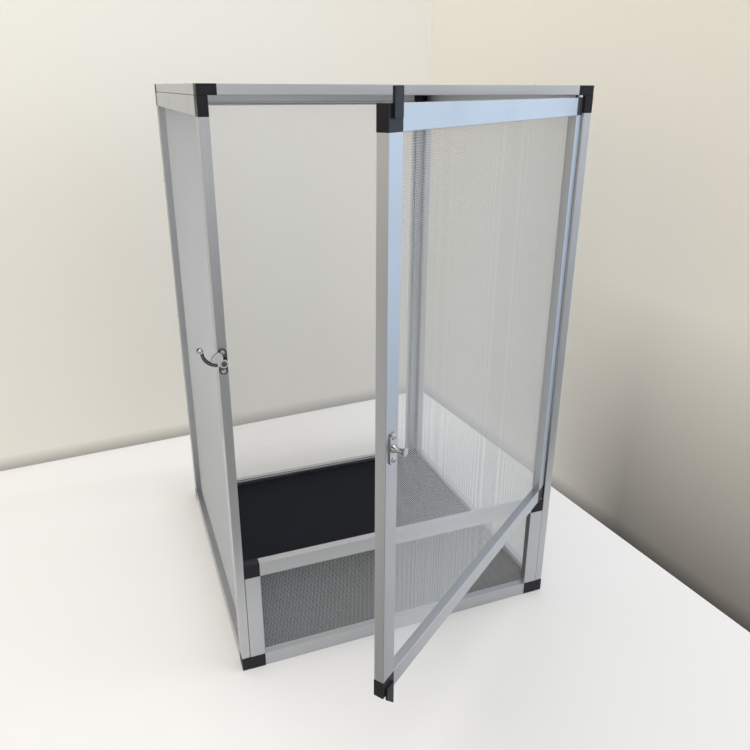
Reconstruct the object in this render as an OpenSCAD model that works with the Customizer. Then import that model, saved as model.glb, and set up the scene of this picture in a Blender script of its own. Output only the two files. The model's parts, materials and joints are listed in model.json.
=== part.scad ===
// Mesh reptile cage: six screen panels of grooved hollow bars, plugged corner connectors,
// a floor board, a pin-hung door and a swing hook. Millimetres, +Z up, front towards -Y.
// The origin is the centre of the footprint, on the surface that the cage stands on.

/* [Cage] */
// Width over the side panels
cage_w = 450; // [320:1:620]
// Depth from front to back
cage_d = 450; // [320:1:620]
// Height from the floor to the top of the top panel
cage_h = 710; // [560:1:900]
// Height of the fixed low panel at the front
sill_h = 161; // [125:1:200]
// Thickness of the floor board
floor_t = 10; // [6:0.5:14]
// Clearance round the floor board
floor_gap = 0.5; // [0.2:0.1:2]

/* [Frame bar] */
// Width of the bar's face
frame_w = 19.5; // [18:0.5:24]
// Thickness of the bar
frame_t = 10.5; // [9.5:0.5:14]
// Wall of the hollow bar
bar_wall = 1; // [0.8:0.1:1.3]
// Rounding of the bar's long edges
bar_edge_r = 0.6; // [0.3:0.1:0.9]
// How far the bar's outer edge stays behind the connectors
bar_inset = 0.4; // [0:0.1:0.5]
// Width of the groove that takes the spline
groove_w = 4; // [3:0.1:4.5]
// Depth of that groove
groove_d = 5.2; // [4.4:0.1:6]
// Wall between the groove and the bar's inner edge
lip_t = 1.2; // [0.8:0.1:1.6]
// How far that wall stays below the bar's face
lip_drop = 0.8; // [0.6:0.1:1.2]

/* [Corner connector] */
// Length of the tongues that plug into the bars
tongue_l = 30; // [16:1:34]
// Clearance round a tongue
tongue_gap = 0.12; // [0.05:0.01:0.3]
// Chamfer at a tongue's tip
tongue_chamfer = 2; // [0.5:0.1:3]
// Rounding of the connector's corners
connector_r = 0.8; // [0.4:0.1:1.5]

/* [Mesh and spline] */
// Thickness of the mesh
net_t = 0.5; // [0.3:0.05:0.6]
// Distance between strands
net_pitch = 36; // [33:1:60]
// Width of a strand
net_strand = 2.4; // [1:0.1:4]
// Depth of the mesh's edge that is tucked into the groove
net_hem_d = 3.2; // [2:0.1:3.4]
// Clearance round the spline
spline_gap = 0.2; // [0.1:0.05:0.4]

/* [Door] */
// Angle at which the door stands open
door_angle = 36; // [0:1:105]
// Gap beside the door at its hinge
hinge_gap = 2; // [2:0.1:4]
// Gap beside the door at its free edge
free_gap = 2; // [1:0.1:4]
// Gap over and under the door
door_rise_gap = 2.2; // [1.6:0.1:4]
// How far the shut door stands proud of the front
door_proud = 0.3; // [0.2:0.05:1]
// Hinge axis from the door's end
pivot_inset = 3.5; // [3.2:0.1:5]
// Hinge axis from the door's outer face
pivot_depth = 3.5; // [3.2:0.1:4]
// Radius of the hinge pins
pin_r = 1.5; // [1:0.1:1.8]
// Length of a pin inside the door
pin_in_door = 10; // [6:0.5:14]
// Length of a pin inside the frame
pin_in_frame = 7; // [4:0.5:8]
// Radial clearance of a pin in the frame
pin_fit = 0.05; // [0.02:0.01:0.1]
// Radius of a hinge washer
washer_r = 3; // [2.6:0.1:3.1]
// Clearance between a washer and the frame
washer_gap = 0.2; // [0.1:0.05:0.4]
// Width of a stop tab
tab_w = 12; // [8:0.5:14]
// Thickness of a stop tab
tab_t = 2.2; // [1.5:0.1:3]
// Stop tab from the door's free end
tab_inset = 4.4; // [1:0.1:5]
// Length of a stop tab on the connector
tab_seat = 10.2; // [6:0.1:16]
// Length of the upper stop tab above the door
tab_rise = 11.3; // [5:0.1:12.5]
// Length of the lower stop tab below the door, at its short side
tab_short = 4; // [2:0.5:8]
// Length of the lower stop tab below the door, at its long side
tab_long = 17; // [9:0.5:19]

/* [Latch] */
// Height of the hook's pivot
latch_z = 430; // [300:1:520]
// Length of a latch plate
plate_l = 30; // [26:0.5:40]
// Width of a latch plate
plate_w = 10; // [7.5:0.1:10.4]
// Thickness of a latch plate
plate_t = 1.5; // [1:0.1:2.5]
// Radius of the boss under the hook
boss_r = 3.6; // [2.8:0.1:4]
// Height of that boss
boss_h = 4; // [3:0.1:6]
// Thickness of the hook
hook_t = 2.4; // [1.8:0.1:3]
// Radius of the hook's rivet
rivet_r = 1.6; // [1.2:0.1:1.9]
// Radial clearance of the hook on its rivet
rivet_fit = 0.05; // [0.02:0.01:0.1]
// Radius of the rivet's head
rivet_head_r = 3; // [2.4:0.1:4]
// Height of the rivet's head
rivet_head_h = 1.2; // [0.8:0.1:2]
// End play of the hook
hook_play = 0.1; // [0.05:0.01:0.3]
// Radius of the hook's eye
eye_r = 4.8; // [4.2:0.1:5.4]
// Outer radius of the hook's bow
bow_r = 19.3; // [19:0.1:20]
// Thickness of the bow
bow_t = 3.9; // [3:0.1:4]
// Radius of the hook's heel
heel_r = 7; // [5:0.1:7.5]
// Clearance between the heel and the keeper's stud
heel_gap = 0.6; // [0.5:0.1:2]
// Radius of the round bar along the bow
bow_bar_r = 2; // [1.5:0.1:2.2]
// Radius of the knob at the hook's tip
knob_r = 3; // [2:0.1:3.2]
// Length of the keeper's stud
stud_l = 12; // [10:0.5:14]
// Radius of the stud's ends
stud_r = 4; // [3.4:0.1:4.4]
// Radius of the stud's waist
stud_waist_r = 2.2; // [1.6:0.1:2.2]
// Keeper's centre line from the door's free end
keeper_inset = 10.2; // [8:0.1:11]
// How far the stud sits below the hook's pivot
stud_drop = 1.6; // [0:0.1:6]

/* [Screws] */
// Radius of a screw's shank
screw_r = 1.4; // [1:0.1:1.6]
// Clearance round a shank
screw_gap = 0.1; // [0.05:0.05:0.2]
// Radius of a latch screw's head
latch_head_r = 2.6; // [2.1:0.1:3.2]
// Height of a latch screw's head
latch_head_h = 1.6; // [1:0.1:2]
// Length of a latch screw below its head
latch_screw_l = 8; // [5:0.5:9]
// Latch screws from the plate's centre
latch_screw_reach = 10.8; // [9:0.1:11.5]
// Radius of a panel screw's head
panel_head_r = 3; // [2.4:0.1:4.2]
// Height of a panel screw's head
panel_head_h = 0.9; // [0.6:0.1:2.4]
// Length of a panel screw below its head
panel_screw_l = 16; // [14:0.5:18]
// Side screws of the sill panel from its mid height
sill_screw_reach = 16; // [10:1:22]
// Outer side screws of the back panel from mid height
back_screw_reach = 220; // [120:1:230]
// Top screws from the middle of the top panel
top_screw_reach = 110; // [60:1:120]

/* [Hidden] */
$fn = 48;
cut = 1;
aluminium = [0.76, 0.78, 0.80];
net_metal = [0.70, 0.72, 0.73];
black_plastic = [0.09, 0.09, 0.10];
board_black = [0.10, 0.11, 0.13];
spline_grey = [0.62, 0.63, 0.64];
chrome = [0.82, 0.83, 0.85];
steel = [0.66, 0.67, 0.69];
nylon = [0.86, 0.86, 0.83];

half_w = cage_w / 2;
half_d = cage_d / 2;
side_h = cage_h - frame_t;
inner_w = cage_w - 2 * frame_t;

groove_u = frame_w - lip_t - groove_w;
chamber_w = groove_u - 2 * bar_wall;
chamber_t = frame_t - 2 * bar_wall;
cell_t = frame_t - groove_d - 2 * bar_wall;
net_v = frame_t - lip_drop;
net_edge = frame_w - lip_t - net_t;

door_w = inner_w - hinge_gap - free_gap;
door_z = sill_h + door_rise_gap;
door_h = side_h - door_rise_gap - door_z;
door_x = half_w - frame_t - hinge_gap;
door_y = -half_d - door_proud;
pivot_x = door_x - pivot_inset;
pivot_y = door_y + pivot_depth;

hook_x = -half_w + frame_t / 2;
latch_y = -half_d + bar_inset;
hook_y = latch_y - plate_t - boss_h - hook_play;
stud_dx = -half_w + frame_t + free_gap + keeper_inset - hook_x;
notch_r = norm([stud_dx, stud_drop]);
notch_angle = 149.5;
notch_centre = notch_r * [cos(notch_angle), sin(notch_angle)];
heel_centre = [-7.5, 7.2];
heel_reach = notch_r - stud_waist_r - heel_gap;
bow_centre = notch_centre + [9.9, 7.7];
bow_start = 176;
bow_bar_end = 264;
bow_end = 285;
stud_flare = stud_r - stud_waist_r;
stud_curve_r = (pow(stud_l / 2, 2) + pow(stud_flare, 2)) / (2 * stud_flare);
keeper_p = door_w - keeper_inset;
keeper_q = latch_z - stud_drop - door_z;

sill_screw_z = [for (s = [-1, 1]) sill_h / 2 + s * sill_screw_reach];
back_screw_z = [for (s = [-1, 0, 1]) side_h / 2 + s * back_screw_reach];
top_screw_s = [-top_screw_reach, top_screw_reach];
front_y = -half_d + frame_t / 2;
back_y = half_d - frame_t / 2;
side_x = half_w - frame_t / 2;

// Places of the panels. In a panel, X runs along its width, Y along its height
// and Z from the outer face inwards.
module at_top() {
    translate([half_w, -half_d, cage_h]) rotate([0, 180, 0]) children();
}

module at_back() {
    translate([-inner_w / 2, half_d, 0]) rotate([90, 0, 0]) children();
}

module at_left() {
    translate([-half_w, -half_d, 0]) rotate([90, 0, 90]) children();
}

module at_right() {
    translate([half_w, half_d, 0]) rotate([90, 0, -90]) children();
}

module at_sill() {
    translate([inner_w / 2, -half_d, 0]) rotate([90, 0, 180]) children();
}

module at_door() {
    translate([pivot_x, pivot_y, 0])
        rotate([0, 0, door_angle])
            translate([door_x - pivot_x, door_y - pivot_y, door_z])
                rotate([90, 0, 180]) children();
}

// Outline of width w and height h with round corners
module rounded_outline(w, h, r) {
    translate([r, 0]) square([w - 2 * r, h]);
    translate([0, r]) square([w, h - 2 * r]);
    for (x = [r, w - r], y = [r, h - r]) translate([x, y]) circle(r);
}

// Section of the bar: X from the outer to the inner edge, Y from the outer face inwards.
// A large chamber takes the connectors' tongues, a groove takes the spline.
module bar_section() {
    difference() {
        translate([bar_inset, 0]) rounded_outline(frame_w - bar_inset, frame_t, bar_edge_r);
        translate([bar_wall, bar_wall]) square([chamber_w, chamber_t]);
        translate([groove_u, frame_t - groove_d]) square([groove_w, groove_d + cut]);
        translate([groove_u, bar_wall]) square([groove_w, cell_t]);
        translate([frame_w - lip_t - cut, net_v]) square([lip_t + 2 * cut, lip_drop + cut]);
    }
}

// Bar along the first upright edge of a panel of height h
module stile(h) {
    translate([0, h - frame_w, 0])
        rotate([90, 0, 0])
            linear_extrude(h - 2 * frame_w) bar_section();
}

// Bar along the opposite upright edge of a panel of width w
module far_stile(w, h) {
    translate([w, 0, 0]) mirror([1, 0, 0]) stile(h);
}

// Bar along the first level edge of a panel of width w
module rail(w) {
    translate([frame_w, 0, 0])
        rotate([90, 0, 90])
            linear_extrude(w - 2 * frame_w) bar_section();
}

// Bar along the opposite level edge of a panel of height h
module far_rail(w, h) {
    translate([0, h, 0]) mirror([0, 1, 0]) rail(w);
}

// Outline of a connector's tongue with a chamfered tip
module tongue_outline(l, w, c) {
    polygon([[0, 0], [l - c, 0], [l, c], [l, w - c], [l - c, w], [0, w]]);
}

module tongue() {
    translate([frame_w - cut, bar_wall + tongue_gap, bar_wall + tongue_gap])
        linear_extrude(chamber_t - 2 * tongue_gap)
            tongue_outline(tongue_l + cut, chamber_w - 2 * tongue_gap, tongue_chamfer);
}

// Connector at the panel's first corner: a block that is as thick as the bars,
// the groove turning the corner, and a tongue into each bar
module connector() {
    difference() {
        linear_extrude(frame_t) rounded_outline(frame_w, frame_w, connector_r);
        translate([groove_u, groove_u, frame_t - groove_d]) {
            cube([groove_w, frame_w, groove_d + cut]);
            cube([frame_w, groove_w, groove_d + cut]);
        }
        translate([net_edge, net_edge, net_v]) cube([frame_w, frame_w, lip_drop + cut]);
    }
    tongue();
    mirror([1, -1, 0]) tongue();
}

// Connectors at the first upright edge of a panel of height h
module connector_pair(h) {
    connector();
    translate([0, h, 0]) mirror([0, 1, 0]) connector();
}

module connectors(w, h) {
    connector_pair(h);
    translate([w, 0, 0]) mirror([1, 0, 0]) connector_pair(h);
}

function strands(l) = max(1, round(l / net_pitch));

// Mesh of a panel: an open net over the panel's window, with its edge tucked into the groove
module mesh(w, h) {
    open_w = w - 2 * frame_w;
    open_h = h - 2 * frame_w;
    step_x = open_w / strands(open_w);
    step_y = open_h / strands(open_h);
    translate([0, 0, net_v])
        linear_extrude(net_t)
            difference() {
                translate([net_edge, net_edge]) square([w - 2 * net_edge, h - 2 * net_edge]);
                for (i = [0:strands(open_w) - 1], j = [0:strands(open_h) - 1])
                    translate([frame_w + i * step_x + net_strand / 2, frame_w + j * step_y + net_strand / 2])
                        square([step_x - net_strand, step_y - net_strand]);
            }
    translate([0, 0, net_v - net_hem_d])
        linear_extrude(net_hem_d)
            difference() {
                translate([net_edge, net_edge]) square([w - 2 * net_edge, h - 2 * net_edge]);
                translate([net_edge + net_t, net_edge + net_t])
                    square([w - 2 * (net_edge + net_t), h - 2 * (net_edge + net_t)]);
            }
}

// Spline of a panel: one length pressed into the groove, right round the panel
module spline(w, h) {
    near = groove_u + spline_gap;
    far = near + groove_w - net_t - 2 * spline_gap;
    translate([0, 0, frame_t - groove_d + spline_gap])
        linear_extrude(groove_d - 2 * spline_gap)
            difference() {
                translate([near, near]) square([w - 2 * near, h - 2 * near]);
                translate([far, far]) square([w - 2 * far, h - 2 * far]);
            }
}

// Screw with a domed head above Z = 0 and its shank below
module screw(head_r, head_h, l) {
    dome_r = (pow(head_r, 2) + pow(head_h, 2)) / (2 * head_h);
    rotate_extrude()
        intersection() {
            translate([0, head_h - dome_r]) circle(dome_r);
            square([head_r, head_h]);
        }
    translate([0, 0, -l]) cylinder(h = l + head_h / 2, r = screw_r);
}

// Hole for a screw's shank of length l, with its mouth at Z = 0
module screw_hole(l) {
    translate([0, 0, -l - cut]) cylinder(h = l + 2 * cut, r = screw_r + screw_gap);
}

module at_side_screws() {
    for (side = [-1, 1]) {
        for (z = sill_screw_z) translate([side * half_w, front_y, z]) rotate([0, side * 90, 0]) children();
        for (z = back_screw_z) translate([side * half_w, back_y, z]) rotate([0, side * 90, 0]) children();
    }
}

module at_top_screws() {
    for (side = [-1, 1], y = top_screw_s) translate([side * side_x, y, cage_h]) children();
    for (x = top_screw_s) translate([x, back_y, cage_h]) children();
}

module at_latch_screws() {
    for (s = [-1, 1])
        translate([hook_x, latch_y - plate_t, latch_z + s * latch_screw_reach]) rotate([90, 0, 0]) children();
}

module at_keeper() {
    at_door() translate([keeper_p, keeper_q, 0]) mirror([0, 0, 1]) children();
}

module at_keeper_screws() {
    for (s = [-1, 1]) at_keeper() translate([0, s * latch_screw_reach, plate_t]) children();
}

module side_drilled() {
    difference() {
        children();
        at_side_screws() screw_hole(panel_screw_l);
    }
}

module top_drilled() {
    difference() {
        children();
        at_top_screws() screw_hole(panel_screw_l);
    }
}

// Blind bores in the frame for the two hinge pins
module hinge_bores() {
    translate([pivot_x, pivot_y, side_h - cut])
        cylinder(h = pin_in_frame + washer_gap + cut, r = pin_r + pin_fit);
    translate([pivot_x, pivot_y, sill_h - pin_in_frame - washer_gap])
        cylinder(h = pin_in_frame + washer_gap + cut, r = pin_r + pin_fit);
}

// Latch plate with round ends, on Z = 0
module latch_base() {
    straight = plate_l - plate_w;
    linear_extrude(plate_t)
        union() {
            translate([-plate_w / 2, -straight / 2]) square([plate_w, straight]);
            for (s = [-1, 1]) translate([0, s * straight / 2]) circle(plate_w / 2);
        }
}

module plate_drilled() {
    difference() {
        children();
        for (s = [-1, 1]) translate([0, s * latch_screw_reach, plate_t]) screw_hole(plate_t);
    }
}

// Sector of a ring about the origin, between two angles under 180 degrees apart
module ring_sector(r, t, from, to) {
    reach = 2 * r;
    middle = (from + to) / 2;
    intersection() {
        difference() {
            circle(r);
            circle(r - t);
        }
        polygon([
            [0, 0],
            [reach * cos(from), reach * sin(from)],
            [reach * cos(middle), reach * sin(middle)],
            [reach * cos(to), reach * sin(to)]
        ]);
    }
}

// Outline of the hook about its rivet: eye, heel and a bow that leaves the notch open
module hook_outline() {
    difference() {
        union() {
            circle(eye_r);
            intersection() {
                translate(heel_centre) circle(heel_r);
                circle(heel_reach);
            }
            translate(bow_centre) ring_sector(bow_r, bow_t, bow_start, bow_end);
        }
        circle(rivet_r + rivet_fit);
    }
}

module top_front_rail() {
    color(aluminium) at_top() rail(cage_w);
}

module top_back_rail() {
    color(aluminium) top_drilled() at_top() far_rail(cage_w, cage_d);
}

module top_left_rail() {
    color(aluminium) top_drilled() at_top() far_stile(cage_w, cage_d);
}

module top_right_rail() {
    color(aluminium) top_drilled() at_top() stile(cage_d);
}

module back_left_stile() {
    color(aluminium) side_drilled() at_back() stile(side_h);
}

module back_right_stile() {
    color(aluminium) side_drilled() at_back() far_stile(inner_w, side_h);
}

module back_top_rail() {
    color(aluminium) top_drilled() at_back() far_rail(inner_w, side_h);
}

module back_bottom_rail() {
    color(aluminium) at_back() rail(inner_w);
}

module left_front_stile() {
    color(aluminium)
        difference() {
            side_drilled() at_left() stile(side_h);
            at_latch_screws() screw_hole(latch_screw_l);
        }
}

module left_back_stile() {
    color(aluminium) side_drilled() at_left() far_stile(cage_d, side_h);
}

module left_top_rail() {
    color(aluminium) top_drilled() at_left() far_rail(cage_d, side_h);
}

module left_bottom_rail() {
    color(aluminium) at_left() rail(cage_d);
}

module right_front_stile() {
    color(aluminium) side_drilled() at_right() far_stile(cage_d, side_h);
}

module right_back_stile() {
    color(aluminium) side_drilled() at_right() stile(side_h);
}

module right_top_rail() {
    color(aluminium) top_drilled() at_right() far_rail(cage_d, side_h);
}

module right_bottom_rail() {
    color(aluminium) at_right() rail(cage_d);
}

module sill_left_stile() {
    color(aluminium) side_drilled() at_sill() far_stile(inner_w, sill_h);
}

module sill_right_stile() {
    color(aluminium) side_drilled() at_sill() stile(sill_h);
}

module sill_top_rail() {
    color(aluminium) at_sill() far_rail(inner_w, sill_h);
}

module sill_bottom_rail() {
    color(aluminium) at_sill() rail(inner_w);
}

module door_hinge_stile() {
    color(aluminium) at_door() stile(door_h);
}

module door_free_stile() {
    color(aluminium)
        difference() {
            at_door() far_stile(door_w, door_h);
            at_keeper_screws() screw_hole(latch_screw_l);
        }
}

module door_top_rail() {
    color(aluminium) at_door() far_rail(door_w, door_h);
}

module door_bottom_rail() {
    color(aluminium) at_door() rail(door_w);
}

module top_corners() {
    color(black_plastic)
        difference() {
            at_top() connectors(cage_w, cage_d);
            hinge_bores();
        }
}

module back_corners() {
    color(black_plastic) at_back() connectors(inner_w, side_h);
}

module left_corners() {
    color(black_plastic) at_left() connectors(cage_d, side_h);
}

module right_corners() {
    color(black_plastic) at_right() connectors(cage_d, side_h);
}

module sill_corners() {
    color(black_plastic)
        difference() {
            at_sill() connectors(inner_w, sill_h);
            hinge_bores();
        }
}

module door_hinge_corners() {
    color(black_plastic)
        at_door()
            difference() {
                connector_pair(door_h);
                for (y = [-cut, door_h - pin_in_door])
                    translate([pivot_inset, y + pin_in_door + cut, pivot_depth])
                        rotate([90, 0, 0]) cylinder(h = pin_in_door + cut, r = pin_r);
            }
}

// Connectors at the door's free edge. Each has a stop tab on its outer face,
// the upper one square and the lower one slanted.
module door_free_corners() {
    color(black_plastic)
        at_door() {
            translate([door_w, 0, 0]) mirror([1, 0, 0]) connector_pair(door_h);
            translate([door_w - tab_inset - tab_w, 0, -tab_t])
                linear_extrude(tab_t) {
                    translate([0, door_h - tab_seat])
                        rounded_outline(tab_w, tab_seat + tab_rise, connector_r);
                    polygon([[0, -tab_long], [tab_w, -tab_short], [tab_w, tab_seat], [0, tab_seat]]);
                }
        }
}

module top_mesh() {
    color(net_metal) at_top() mesh(cage_w, cage_d);
}

module back_mesh() {
    color(net_metal) at_back() mesh(inner_w, side_h);
}

module left_mesh() {
    color(net_metal) at_left() mesh(cage_d, side_h);
}

module right_mesh() {
    color(net_metal) at_right() mesh(cage_d, side_h);
}

module sill_mesh() {
    color(net_metal) at_sill() mesh(inner_w, sill_h);
}

module door_mesh() {
    color(net_metal) at_door() mesh(door_w, door_h);
}

module top_spline() {
    color(spline_grey) at_top() spline(cage_w, cage_d);
}

module back_spline() {
    color(spline_grey) at_back() spline(inner_w, side_h);
}

module left_spline() {
    color(spline_grey) at_left() spline(cage_d, side_h);
}

module right_spline() {
    color(spline_grey) at_right() spline(cage_d, side_h);
}

module sill_spline() {
    color(spline_grey) at_sill() spline(inner_w, sill_h);
}

module door_spline() {
    color(spline_grey) at_door() spline(door_w, door_h);
}

module floor_board() {
    board_w = inner_w - 2 * floor_gap;
    board_d = cage_d - 2 * frame_t - 2 * floor_gap;
    color(board_black) translate([-board_w / 2, -board_d / 2, 0]) cube([board_w, board_d, floor_t]);
}

module hinge_pins() {
    pin_l = pin_in_door + door_rise_gap + pin_in_frame;
    color(steel) {
        translate([pivot_x, pivot_y, sill_h - pin_in_frame]) cylinder(h = pin_l, r = pin_r);
        translate([pivot_x, pivot_y, side_h + pin_in_frame - pin_l]) cylinder(h = pin_l, r = pin_r);
    }
}

module hinge_washers() {
    washer_t = door_rise_gap - washer_gap;
    color(nylon)
        for (z = [sill_h + washer_gap, door_z + door_h])
            translate([pivot_x, pivot_y, z])
                difference() {
                    cylinder(h = washer_t, r = washer_r);
                    translate([0, 0, -cut]) cylinder(h = washer_t + 2 * cut, r = pin_r);
                }
}

module latch_plate() {
    color(chrome)
        translate([hook_x, latch_y, latch_z])
            rotate([90, 0, 0])
                difference() {
                    union() {
                        plate_drilled() latch_base();
                        cylinder(h = plate_t + boss_h, r = boss_r);
                    }
                    translate([0, 0, -cut]) cylinder(h = plate_t + boss_h + 2 * cut, r = rivet_r);
                }
}

module latch_rivet() {
    rivet_l = plate_t + boss_h + hook_t + 2 * hook_play;
    color(chrome)
        translate([hook_x, latch_y, latch_z])
            rotate([90, 0, 0]) {
                cylinder(h = rivet_l, r = rivet_r);
                translate([0, 0, rivet_l]) cylinder(h = rivet_head_h, r = rivet_head_r);
            }
}

// Swing hook: a plate round the rivet, a round bar along its bow and a knob at its tip
module latch_hook() {
    bow_middle = bow_r - bow_t / 2;
    color(chrome)
        translate([hook_x, hook_y, latch_z])
            rotate([90, 0, 0]) {
                linear_extrude(hook_t) hook_outline();
                translate([bow_centre[0], bow_centre[1], hook_t / 2])
                    rotate([0, 0, bow_start]) {
                        rotate_extrude(angle = bow_bar_end - bow_start)
                            translate([bow_middle, 0]) circle(bow_bar_r);
                        translate([bow_r, 0, 0]) sphere(knob_r);
                    }
            }
}

module latch_screws() {
    color(steel) at_latch_screws() screw(latch_head_r, latch_head_h, latch_screw_l);
}

module keeper_plate() {
    color(chrome) at_keeper() plate_drilled() latch_base();
}

// Waisted stud that the hook's notch drops over
module keeper_stud() {
    color(chrome)
        at_keeper()
            translate([0, 0, plate_t])
                rotate_extrude()
                    difference() {
                        square([stud_r, stud_l]);
                        translate([stud_waist_r + stud_curve_r, stud_l / 2]) circle(stud_curve_r);
                    }
}

module keeper_screws() {
    color(steel) at_keeper_screws() screw(latch_head_r, latch_head_h, latch_screw_l);
}

module side_screws() {
    color(steel) at_side_screws() screw(panel_head_r, panel_head_h, panel_screw_l);
}

module top_screws() {
    color(steel) at_top_screws() screw(panel_head_r, panel_head_h, panel_screw_l);
}

top_front_rail();
top_back_rail();
top_left_rail();
top_right_rail();
back_left_stile();
back_right_stile();
back_top_rail();
back_bottom_rail();
left_front_stile();
left_back_stile();
left_top_rail();
left_bottom_rail();
right_front_stile();
right_back_stile();
right_top_rail();
right_bottom_rail();
sill_left_stile();
sill_right_stile();
sill_top_rail();
sill_bottom_rail();
door_hinge_stile();
door_free_stile();
door_top_rail();
door_bottom_rail();
top_corners();
back_corners();
left_corners();
right_corners();
sill_corners();
door_hinge_corners();
door_free_corners();
top_mesh();
back_mesh();
left_mesh();
right_mesh();
sill_mesh();
door_mesh();
top_spline();
back_spline();
left_spline();
right_spline();
sill_spline();
door_spline();
floor_board();
hinge_pins();
hinge_washers();
latch_plate();
latch_rivet();
latch_hook();
latch_screws();
keeper_plate();
keeper_stud();
keeper_screws();
side_screws();
top_screws();
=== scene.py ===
import json
import math

import bmesh
import bpy
from bpy.props import FloatProperty, FloatVectorProperty, IntProperty, PointerProperty
from bpy.types import Operator, Panel, PropertyGroup
from mathutils import Matrix, Vector


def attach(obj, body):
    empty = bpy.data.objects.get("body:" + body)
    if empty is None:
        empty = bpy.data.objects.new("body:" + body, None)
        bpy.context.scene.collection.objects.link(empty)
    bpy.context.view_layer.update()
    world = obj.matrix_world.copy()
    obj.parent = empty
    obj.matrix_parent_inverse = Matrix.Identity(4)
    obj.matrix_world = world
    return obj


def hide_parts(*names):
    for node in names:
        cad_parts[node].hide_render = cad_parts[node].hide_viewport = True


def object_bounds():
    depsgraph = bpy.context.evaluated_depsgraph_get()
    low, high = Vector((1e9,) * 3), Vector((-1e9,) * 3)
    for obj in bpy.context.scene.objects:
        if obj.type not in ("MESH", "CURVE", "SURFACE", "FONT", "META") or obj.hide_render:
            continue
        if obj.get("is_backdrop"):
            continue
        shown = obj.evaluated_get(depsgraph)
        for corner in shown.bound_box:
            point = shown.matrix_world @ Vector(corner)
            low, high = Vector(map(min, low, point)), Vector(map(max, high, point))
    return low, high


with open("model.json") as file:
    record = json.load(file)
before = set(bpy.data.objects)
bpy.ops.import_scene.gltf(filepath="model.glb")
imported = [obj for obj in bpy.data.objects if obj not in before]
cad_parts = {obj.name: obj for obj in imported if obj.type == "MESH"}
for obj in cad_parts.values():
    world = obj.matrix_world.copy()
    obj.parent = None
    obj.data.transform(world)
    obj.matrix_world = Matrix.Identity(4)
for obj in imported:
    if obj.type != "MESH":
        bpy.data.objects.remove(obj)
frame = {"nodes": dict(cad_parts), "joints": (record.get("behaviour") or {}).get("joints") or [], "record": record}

bl_info = {
    "name": "Mesh Reptile Cage",
    "version": (1, 0, 0),
    "blender": (4, 5, 0),
    "location": "View3D > Sidebar > Cage",
    "description": "Dresses a screen cage: drawn bars, woven wire, moulded corners, chrome latch",
    "category": "Object",
}

CAD_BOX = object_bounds()
NODES = frame["nodes"]
BODIES = frame["record"]["behaviour"]["bodies"]
BODY_OF = {node: body for body, members in BODIES.items() for node in members}
DOOR_JOINT = next(joint for joint in frame["joints"] if joint["child"] == "door")
FINISH = {entry["slot"]: (*entry["base_color"], 1.0) for entry in frame["record"]["materials"]}

LEFT, RIGHT = (-1.0, 0.0, 0.0), (1.0, 0.0, 0.0)
FRONT, BACK = (0.0, -1.0, 0.0), (0.0, 1.0, 0.0)
DOWN, UP = (0.0, 0.0, -1.0), (0.0, 0.0, 1.0)

# Each panel's own axes in the shut cage: along its width, along its height, and inwards
PANEL_AXES = {
    "top": (LEFT, BACK, DOWN),
    "back": (RIGHT, UP, FRONT),
    "left": (BACK, UP, RIGHT),
    "right": (FRONT, UP, LEFT),
    "sill": (LEFT, UP, BACK),
    "door": (LEFT, UP, BACK),
}
BAR_ENDINGS = ("_rail", "_stile")
SQUARE_RUN = 0.99

MILLIMETRE = 0.001
MERGE_DISTANCE = 1e-6
BUMP_DISTANCE = 0.0001

# Angles between faces: taken as one face, kept sharp, sharp on a screw, and rounded
FLAT_ANGLE = math.radians(0.5)
SHARP_ANGLE = math.radians(30)
SCREW_SHARP_ANGLE = math.radians(35)
ROUNDED_ANGLE = math.radians(40)
ROUNDING_STEPS = 2

# A wire has four points: its two tucked ends and its two bends
WIRE_POINTS = 4
WIRE_MIDDLE = (WIRE_POINTS - 1) / 2
WIRE_SIDES = 6

SPLINE_SIDES = 60
SPLINE_BEND_STEPS = 6

DOME_SEGMENTS, DOME_RINGS = 24, 12
SHANK_SIDES = 16
RIM_SHARE = 0.995

# Reach of the hook's ball from its middle
BALL_REACH = 0.0036

# Polished plating: its painted dark reflection, how fast it turns to it, and its worn tone
PAINTED_DARK_REFLECTION = (0.02, 0.02, 0.025, 1)
TURN_SPAN = 0.2
WORN_TONE = 0.82

# Plan of the stage: the corner of its two walls, and their far ends
CORNER, BACK_WALL_END, SIDE_WALL_END = (0.366, 0.518), (-4.0, 0.188), (0.763, -4.0)
WALL_HEIGHT, FLOOR_REACH = 2.6, 4.0
# Where the side wall's tone starts and is full, and the back wall's tint beside it
SIDE_WALL_START, SIDE_WALL_FULL = 0.36601, 0.36603
CORNER_TINT = (1.01, 0.965, 0.915, 1.0)

SENSOR_WIDTH = 36.0
NEAR_CLIP = 0.01


def number(label, description, default, **settings):
    """A plain number."""
    return FloatProperty(name=label, description=description, default=default, **settings)


def length(label, description, millimetres):
    """A size of the cage, given in millimetres."""
    return number(label, description, millimetres * MILLIMETRE, unit="LENGTH", precision=5)


def share(label, description, default):
    """A part of a whole, from 0 to 1."""
    return number(label, description, default, subtype="FACTOR", min=0, max=1)


def angle(label, description, degrees):
    """An angle, given in degrees."""
    return number(label, description, math.radians(degrees), subtype="ANGLE")


def power(label, description, watts):
    """The power of a lamp."""
    return number(label, description, watts, unit="POWER")


def colour(label, description, default):
    """A colour of a finish or of the stage."""
    return FloatVectorProperty(
        name=label, description=description, default=default, subtype="COLOR", size=4, min=0, max=1
    )


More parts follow.
